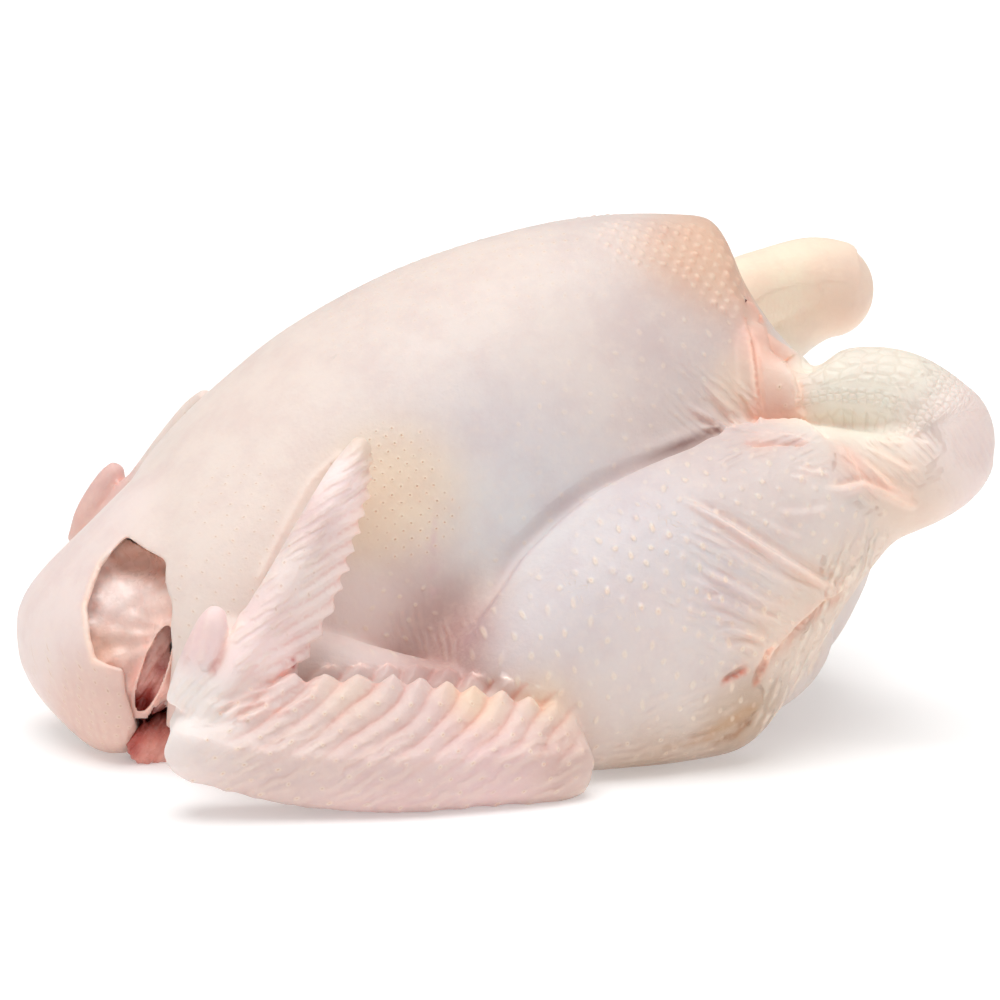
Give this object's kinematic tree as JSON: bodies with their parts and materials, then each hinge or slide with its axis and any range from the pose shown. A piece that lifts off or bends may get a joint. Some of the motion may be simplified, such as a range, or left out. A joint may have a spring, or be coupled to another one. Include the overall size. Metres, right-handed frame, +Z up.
{
  "type": "raw whole chicken",
  "caption": "Raw whole chicken lying on its back, breast up, with folded wings, tucked shanks and a torn neck skin, as one solid that rests on a flat surface.",
  "frame": {"origin": "under the middle of the bounding box, on the surface that the bird lies on", "axes": "+Z up through the breast, +X towards the hocks, -X towards the neck, and the torn side of the neck skin faces -Y"},
  "size_m": [0.2518, 0.1976, 0.1337],
  "materials": {
    "skin": "moist pale peach skin with feather follicles",
    "shank_scales": "cream scaly shank skin",
    "membrane": "wet translucent membrane inside the neck skin",
    "meat": "wet red meat inside the neck skin"
  },
  "bodies": {
    "root": {"chicken": "skin"}
  },
  "joints": []
}
